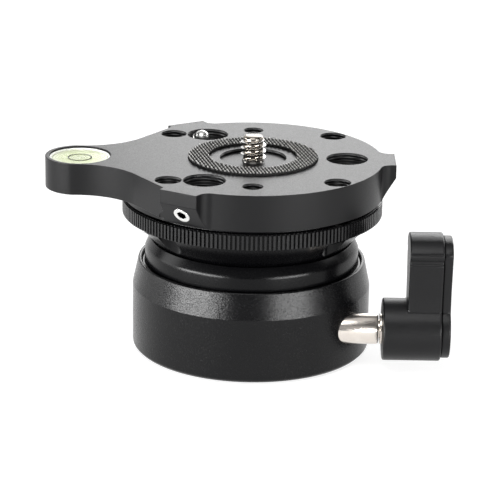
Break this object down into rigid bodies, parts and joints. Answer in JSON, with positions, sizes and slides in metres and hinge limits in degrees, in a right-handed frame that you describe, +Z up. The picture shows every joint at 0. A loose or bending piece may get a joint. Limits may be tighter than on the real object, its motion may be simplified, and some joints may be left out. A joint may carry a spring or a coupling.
{
  "type": "leveling base",
  "caption": "Low round tripod leveling base: a drilled top plate with a bubble-level arm and central stud tilts on a spherical bowl in a housing and is locked by a side lever.",
  "frame": {"origin": "The centre of the threaded insert's mouth, on the underside of the housing.", "axes": "+Z points up along the stud; the level arm lies along -X and the lock lever is on the +X side, towards -Y."},
  "size_m": [0.0992, 0.0656, 0.0535],
  "materials": {
    "black_anodised": "satin",
    "bright_steel": "polished",
    "black_lever": "satin",
    "liner_plastic": "matte",
    "pad_rubber": "matte",
    "level_body": "gloss",
    "level_liquid": "gloss",
    "level_window": "clear"
  },
  "bodies": {
    "base": {"housing": "black_anodised", "thread_insert": "bright_steel", "seat_ring": "black_anodised", "shaft_sleeve": "bright_steel"},
    "brake": {"brake_shoe": "bright_steel"},
    "lock": {"lock_shaft": "bright_steel", "shaft_collar": "bright_steel", "lock_lever": "black_lever", "lever_cap": "black_lever", "lever_screw": "bright_steel"},
    "liner": {"friction_liner": "liner_plastic"},
    "washer": {"clamp_washer": "bright_steel"},
    "top": {"tilt_bowl": "black_anodised", "pull_bolt": "bright_steel", "clamp_nut": "bright_steel", "top_plate": "black_anodised", "plate_screws": "bright_steel", "stud_disc": "black_anodised", "mounting_stud": "bright_steel", "friction_pad": "pad_rubber", "level_cup": "level_body", "level_fluid": "level_liquid", "level_lens": "level_window"},
    "right_screw": {"set_screw_right": "bright_steel"},
    "back_screw": {"set_screw_back": "bright_steel"},
    "front_screw": {"set_screw_front": "bright_steel"}
  },
  "joints": [
    {"name": "lever_turn", "type": "hinge", "parent": "base", "child": "lock", "pos_m": [0, -0.0164, 0.0098], "axis": [1, 0, 0], "range_deg": [0, 90]},
    {"name": "brake_drop", "type": "slide", "parent": "base", "child": "brake", "axis": [0, 0, -1], "range_m": [0, 0.0003]},
    {"name": "tilt_front", "type": "hinge", "parent": "base", "child": "liner", "pos_m": [0, 0, 0.0544], "axis": [1, 0, 0], "range_deg": [-6.5, 6.5]},
    {"name": "tilt_side", "type": "hinge", "parent": "liner", "child": "washer", "pos_m": [0, 0, 0.0544], "axis": [0, 1, 0], "range_deg": [-6.5, 6.5]},
    {"name": "pan", "type": "hinge", "parent": "washer", "child": "top", "pos_m": [0, 0, 0.0544], "axis": [0, 0, 1], "continuous": true},
    {"name": "right_screw_in", "type": "slide", "parent": "top", "child": "right_screw", "axis": [-0.848, 0, 0.5299], "range_m": [-0.0008, 0.0034]},
    {"name": "back_screw_in", "type": "slide", "parent": "top", "child": "back_screw", "axis": [0.424, -0.7344, 0.5299], "range_m": [-0.0042, 0]},
    {"name": "front_screw_in", "type": "slide", "parent": "top", "child": "front_screw", "axis": [0.424, 0.7344, 0.5299], "range_m": [0, 0.0042]}
  ],
  "couplings": [
    {"joint": "brake_drop", "follows": "lever_turn", "m_per_rad": 0.00019}
  ]
}
